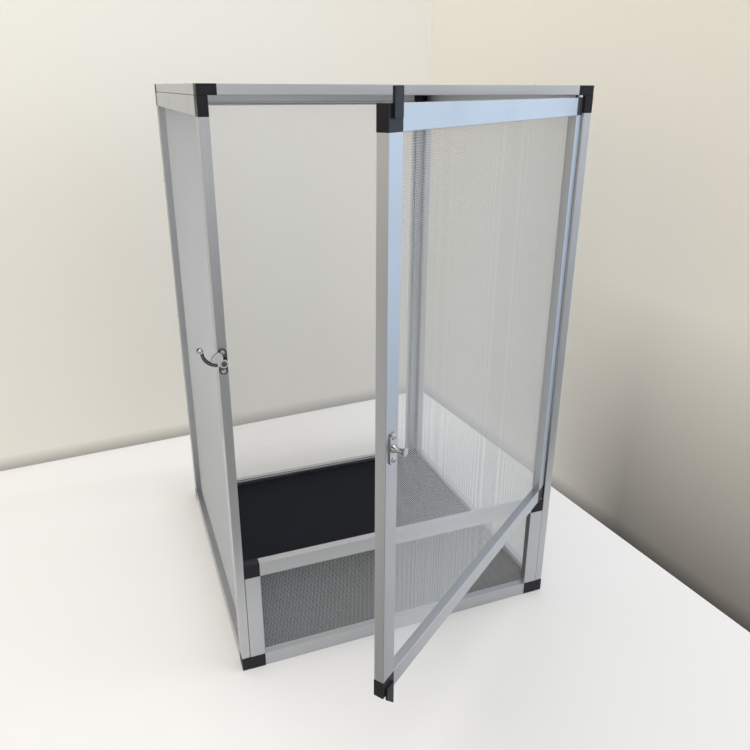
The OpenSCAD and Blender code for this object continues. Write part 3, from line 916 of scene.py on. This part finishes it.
class CAGE_OT_latch(Operator):
    """Round and plate the hook, its base and the keeper"""

    bl_idname = "cage.latch"
    bl_label = "Latch"

    def execute(self, context):
        base = context.scene.cage_finishes.chrome
        rounding = context.scene.cage_sizes.plate_round
        # Lit and shaded copies of one chrome: painted darkest on the plate, lighter on the keeper and brightest on
        # the hook, each with a painted dark reflection
        plate = chrome_with_painted_reflection(base, "plate", 0.25, 1.0, lambda s: facing_share(s, turn=0.09))
        hook = chrome_with_painted_reflection(base, "hook", 0.95, 0.6, hook_painted_reflection_share)
        keeper = chrome_with_painted_reflection(base, "keeper", 0.62, 1.0, lambda s: facing_share(s, turn=0.58))
        plated = {
            plate: ("latch_plate", "latch_rivet"),
            hook: ("latch_hook",),
            keeper: ("keeper_plate", "keeper_stud"),
        }
        for material, nodes in plated.items():
            for node in nodes:
                softened_piece(node, "chrome_" + node, "latch_chrome", material, rounding)
        return {"FINISHED"}


def screw_solids(node, inverse):
    """Vertices of each screw of a node, after a matrix."""
    shape = merged_shape(node)
    waiting = set(shape.verts)
    while waiting:
        island, edge_of_island = set(), [waiting.pop()]
        while edge_of_island:
            vert = edge_of_island.pop()
            island.add(vert)
            found = [e.other_vert(vert) for e in vert.link_edges if e.other_vert(vert) in waiting]
            waiting.difference_update(found)
            edge_of_island.extend(found)
        yield [inverse @ v.co for v in island]
    shape.free()


class ScrewShape:
    """Seat, axis and sizes of one screw, read from its solid on axes that it is square to."""

    def __init__(self, points):
        low, high = corners(points)
        middle = (low + high) / 2
        run = max(range(3), key=lambda i: high[i] - low[i])

        def radius(point):
            return max(abs(point[i] - middle[i]) for i in range(3) if i != run)

        self.head_radius = max(radius(p) for p in points)
        rim = next(p for p in points if radius(p) > self.head_radius - MERGE_DISTANCE)
        sign = 1 if rim[run] > middle[run] else -1
        tip, top = (low[run], high[run]) if sign > 0 else (high[run], low[run])
        rims = [p[run] * sign for p in points if radius(p) > self.head_radius * RIM_SHARE]
        seat = min(rims) * sign
        self.head_height = abs(top - seat)
        self.shank_length = abs(seat - tip)
        self.shank_radius = max(radius(p) for p in points if abs(p[run] - tip) < MERGE_DISTANCE)
        self.seat = Vector([seat if i == run else middle[i] for i in range(3)])
        self.axis = Vector([sign if i == run else 0 for i in range(3)])


class CAGE_OT_screws(Operator):
    """Drive the domed screws that hold the panels and the latch"""

    bl_idname = "cage.screws"
    bl_label = "Screws"

    def execute(self, context):
        sizes = context.scene.cage_sizes
        material = zinc_plate(context.scene.cage_finishes.zinc)
        tree = screw_tree()
        for seed, node in enumerate(n for n in NODES if n.endswith("_screws")):
            swing = swing_of(BODY_OF[node])
            screws = [ScrewShape(points) for points in screw_solids(node, swing.inverted())]
            seats = bpy.data.meshes.new(node + "_seats")
            seats.from_pydata([swing @ s.seat for s in screws], [], [])
            axes = seats.attributes.new("axis", "FLOAT_VECTOR", "POINT")
            for entry, screw in zip(axes.data, screws):
                entry.vector = swing.to_3x3() @ screw.axis
            values = {
                "Head Radius": screws[0].head_radius,
                "Head Height": screws[0].head_height,
                "Shank Radius": screws[0].shank_radius,
                "Shank Length": screws[0].shank_length,
                "Recess Reach": sizes.recess_reach,
                "Recess Width": sizes.recess_width,
                "Recess Depth": sizes.recess_depth,
                "Seed": seed,
                "Material": material,
            }
            mesh = grown_mesh("cross_" + node, tree, values, seats)
            mesh.shade_smooth()
            mesh.set_sharp_from_angle(angle=SCREW_SHARP_ANGLE)
            add_piece(mesh, mesh.name, "screw_steel", node)
        return {"FINISHED"}


def stage_material(name, shade, glow, mirrored=lambda surface: 0.0):
    """A matt surface of the stage, clear from behind so that it hides the cage from no side.
    Its glow shows to the camera and, with what is mirrored, in reflections. It lights nothing."""
    surface = Surface(name)
    maker = surface.maker
    rays = maker.add("ShaderNodeLightPath").outputs
    base = shade(surface)
    shown = maker.math("MAXIMUM", rays["Is Camera Ray"], rays["Is Glossy Ray"])
    seen = maker.times(shown, glow(surface))
    reflected = maker.times(rays["Is Glossy Ray"], mirrored(surface))
    surface.set(
        Base_Color=base,
        Roughness=0.6,
        Specular_IOR_Level=0.2,
        Emission_Color=base,
        Emission_Strength=maker.math("ADD", seen, reflected),
    )
    behind = maker.add("ShaderNodeNewGeometry").outputs["Backfacing"]
    clear = maker.add("ShaderNodeBsdfTransparent")
    mixed = maker.add("ShaderNodeMixShader", {0: behind, 1: surface.shader, 2: clear})
    maker.feed(surface.material.node_tree.nodes["Material Output"], "Surface", mixed)
    return surface.material


def floor_material(stage):
    """Pale to the camera, brighter on the left and behind the cage. Reflections and
    bounced light meet it dim to the front and the left, partly a darker floor and
    partly painted shade, and on the right in a painted pool of cool light."""
    to_viewer, to_softbox = (-0.15, -0.99, 0.0), (1.0, 0.6, 0.0)

    def shade(surface):
        maker = surface.maker
        near_left = maker.times(
            surface.ramp(LEFT, start=0.45, end=0.70),
            surface.ramp(BACK, start=-0.95, end=-0.70, high=0.35),
        )
        front = maker.math("SUBTRACT", surface.ramp(to_viewer, start=0.42, end=0.50), near_left)
        left = surface.ramp(LEFT, start=0.62, end=0.90, high=0.5)
        camera = maker.add("ShaderNodeLightPath").outputs["Is Camera Ray"]
        unseen = maker.math("SUBTRACT", 1.0, camera)
        # Dim to the front and the left: partly a darker floor, partly painted shade
        far = maker.times(unseen, maker.math("MAXIMUM", front, left))
        dimmed = maker.mix(far, stage.floor, stage.far_floor_and_shade)
        # Painted pool of cool light beneath the softbox
        cool = maker.times(unseen, surface.ramp(to_softbox, start=0.3, end=0.7))
        return maker.mix(cool, dimmed, stage.cool_light_pool)

    def glow(surface):
        left = surface.ramp(LEFT, start=-0.05, end=0.3, high=stage.floor_glow * 0.9)
        back = surface.ramp(BACK, start=0.15, end=0.35, high=stage.floor_glow)
        right = surface.ramp(RIGHT, start=0.8, end=2.5, high=stage.floor_glow * 2)
        return surface.maker.math("MAXIMUM", surface.maker.math("MAXIMUM", left, back), right)

    return stage_material("pale_floor", shade, glow)


def wall_material(stage):
    """Painted brighter upwards and to the left, with a painted shadow along its foot that is dark on the right."""
    side_wall = (RIGHT, SIDE_WALL_START, SIDE_WALL_FULL)

    def shade(surface):
        maker = surface.maker
        tinted = tuple(part * tint for part, tint in zip(stage.wall, CORNER_TINT))
        back_wall = surface.ramp(*side_wall, low=1.0, high=0.0)
        near_corner = maker.times(back_wall, surface.ramp(RIGHT, start=0.0, end=CORNER[0]))
        paint = maker.mix(near_corner, stage.wall, tinted)
        low = surface.ramp(UP, start=0.42, end=0.0)
        near = surface.ramp(FRONT, start=-0.1, end=0.15)
        # Painted shadow along the foot, near the floor
        painted = maker.mix(maker.times(low, near), paint, stage.wall_foot_shadow)
        # Painted light: the back wall brighter to the left, the side wall lighter all over, and a painted shadow
        # at the very foot
        back = surface.ramp(LEFT, start=-CORNER[0], end=0.6, low=0.9, high=1.17)
        side = surface.ramp(*side_wall, high=0.36)
        shadow = surface.ramp(UP, start=0.0, end=0.03, low=0.5)
        tone = maker.times(maker.math("ADD", back, side), shadow)
        return maker.add("ShaderNodeVectorMath", {0: painted, "Scale": tone}, operation="SCALE")

    def glow(surface):
        upper = surface.ramp(UP, start=0.4, end=0.85, high=0.4)
        left = surface.ramp(LEFT, start=-0.43, end=0.3, low=0.6)
        return surface.maker.times(surface.maker.math("ADD", upper, left), stage.wall_glow)

    def mirrored(surface):
        return surface.ramp(RIGHT, start=-0.2, end=-0.1, high=stage.mirrored_wall)

    return stage_material("warm_wall", shade, glow, mirrored)


def add_light(name, place, aim, size, power, tint, mirrored):
    """A rectangular softbox that the camera doesn't see, and that metal may show."""
    data = bpy.data.lights.new(name, "AREA")
    data.shape = "RECTANGLE"
    data.size, data.size_y = size
    data.energy = power
    data.color = tint
    lamp = bpy.data.objects.new(name, data)
    lamp.location = place
    lamp.rotation_euler = (Vector(aim) - Vector(place)).to_track_quat("-Z", "Y").to_euler()
    lamp.visible_camera = False
    lamp.visible_glossy = mirrored
    bpy.context.scene.collection.objects.link(lamp)


def add_camera(stage):
    """The photograph's view: yaw and pitch aim it, roll turns it about its own line of sight."""
    yaw = Matrix.Rotation(-stage.camera_yaw, 4, "Z")
    pitch = Matrix.Rotation(math.pi / 2 + stage.camera_pitch, 4, "X")
    roll = Matrix.Rotation(stage.camera_roll, 4, "Z")
    data = bpy.data.cameras.new("camera")
    data.sensor_width = SENSOR_WIDTH
    data.lens = stage.lens
    data.shift_y = stage.camera_shift
    data.clip_start = NEAR_CLIP
    camera = bpy.data.objects.new("camera", data)
    camera.matrix_world = Matrix.Translation(stage.camera_place) @ yaw @ pitch @ roll
    bpy.context.scene.collection.objects.link(camera)
    bpy.context.scene.camera = camera


def add_stage_face(name, points, material):
    """A flat face of the stage, seen from the side where its points run anticlockwise."""
    mesh = bpy.data.meshes.new(name)
    mesh.from_pydata(points, [], [range(len(points))])
    mesh.materials.append(material)
    stage_object = bpy.data.objects.new(name, mesh)
    bpy.context.scene.collection.objects.link(stage_object)
    stage_object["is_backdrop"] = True
    return stage_object


def add_floor(stage):
    ways = ((-1, -1), (1, -1), (1, 1), (-1, 1))
    points = [(x * FLOOR_REACH, y * FLOOR_REACH, 0.0) for x, y in ways]
    add_stage_face("floor", points, floor_material(stage))


def add_wall(name, start, end, material):
    """An upright wall over a line on the floor, with the cage on the line's right."""
    points = ((*start, 0.0), (*end, 0.0), (*end, WALL_HEIGHT), (*start, WALL_HEIGHT))
    return add_stage_face(name, points, material)


def add_backdrop(stage):
    """Walls behind the cage and on its right. The right one only backs the picture."""
    material = wall_material(stage)
    add_wall("back_wall", BACK_WALL_END, CORNER, material)
    side_wall = add_wall("side_wall", CORNER, SIDE_WALL_END, material)
    side_wall.visible_glossy = False
    side_wall.visible_diffuse = False
    side_wall.visible_shadow = False


def light_world(stage):
    """Soft light all round: warm from the left, cool from the right.
    Reflections show it dark above the front, and cool above the right."""
    world = bpy.data.worlds.new("studio")
    bpy.context.scene.world = world
    world.use_nodes = True
    maker = NodeMaker(world.node_tree)
    direction = maker.add("ShaderNodeTexCoord").outputs["Generated"]
    parts = maker.add("ShaderNodeSeparateXYZ", {"Vector": direction}).outputs
    glossy = maker.add("ShaderNodeLightPath").outputs["Is Glossy Ray"]

    def across(axis, start, end):
        return maker.remap(parts[axis], start, end)

    high_right = maker.times(across("X", 0.25, 0.45), across("Z", 0.35, 0.55), glossy)
    high_front = maker.times(across("Y", -0.2, -0.6), across("Z", 0.3, 0.5), glossy)
    layers = (
        (across("Y", -0.9, 0.3), stage.back_light),
        (across("X", -0.3, -0.8), stage.left_light),
        (maker.math("MAXIMUM", across("X", 0.7, 0.95), high_right), stage.right_light),
        (high_front, stage.dark_front),
    )
    light = stage.front_light
    for cover, tint in layers:
        light = maker.mix(cover, light, tint)
    background = world.node_tree.nodes["Background"]
    maker.feed(background, "Color", light)
    maker.feed(background, "Strength", stage.surround)


class CAGE_OT_stage(Operator):
    """Set the floor, the backdrop, the light and the camera"""

    bl_idname = "cage.stage"
    bl_label = "Stage"

    def execute(self, context):
        stage = context.scene.cage_stage
        context.scene.view_settings.view_transform = "Standard"
        add_camera(stage)
        add_floor(stage)
        add_backdrop(stage)
        light_world(stage)
        add_light(
            "overhead", place=(0.0, -0.3, 2.6), aim=(0.0, 0.0, 0.3), size=(2.6, 2.6),
            power=stage.overhead, tint=(1.0, 0.98, 0.95), mirrored=True,
        )
        add_light(
            "window", place=(2.2, -0.9, 1.2), aim=(0.0, -0.1, 0.4), size=(1.6, 1.8),
            power=stage.side, tint=(0.82, 0.91, 1.0), mirrored=False,
        )
        return {"FINISHED"}


OPERATORS = (
    CAGE_OT_frame_bars,
    CAGE_OT_corner_connectors,
    CAGE_OT_wire_mesh,
    CAGE_OT_splines,
    CAGE_OT_floor_board,
    CAGE_OT_hinges,
    CAGE_OT_latch,
    CAGE_OT_screws,
    CAGE_OT_stage,
)
SETTINGS = {"cage_sizes": CageSizes, "cage_finishes": CageFinishes, "cage_stage": CageStage}


class VIEW3D_PT_cage(Panel):
    """Lists the cage's pieces and settings in the sidebar"""

    bl_label = "Mesh reptile cage"
    bl_space_type = "VIEW_3D"
    bl_region_type = "UI"
    bl_category = "Cage"

    def draw(self, context):
        for operator in OPERATORS:
            self.layout.operator(operator.bl_idname)
        for group in SETTINGS:
            settings = getattr(context.scene, group)
            for label in settings.__annotations__:
                self.layout.prop(settings, label)


CLASSES = (*SETTINGS.values(), *OPERATORS, VIEW3D_PT_cage)


def register():
    for cls in CLASSES:
        bpy.utils.register_class(cls)
    for name, group in SETTINGS.items():
        setattr(bpy.types.Scene, name, PointerProperty(type=group))


def unregister():
    for name in SETTINGS:
        delattr(bpy.types.Scene, name)
    for cls in reversed(CLASSES):
        bpy.utils.unregister_class(cls)


def main():
    register()
    bpy.ops.cage.frame_bars()
    bpy.ops.cage.corner_connectors()
    bpy.ops.cage.wire_mesh()
    bpy.ops.cage.splines()
    bpy.ops.cage.floor_board()
    bpy.ops.cage.hinges()
    bpy.ops.cage.latch()
    bpy.ops.cage.screws()
    bpy.ops.cage.stage()
    boxes = {"cad": CAD_BOX, "visual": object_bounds()}
    {name: [list(corner) for corner in box] for name, box in boxes.items()}


if __name__ == "__main__":
    main()
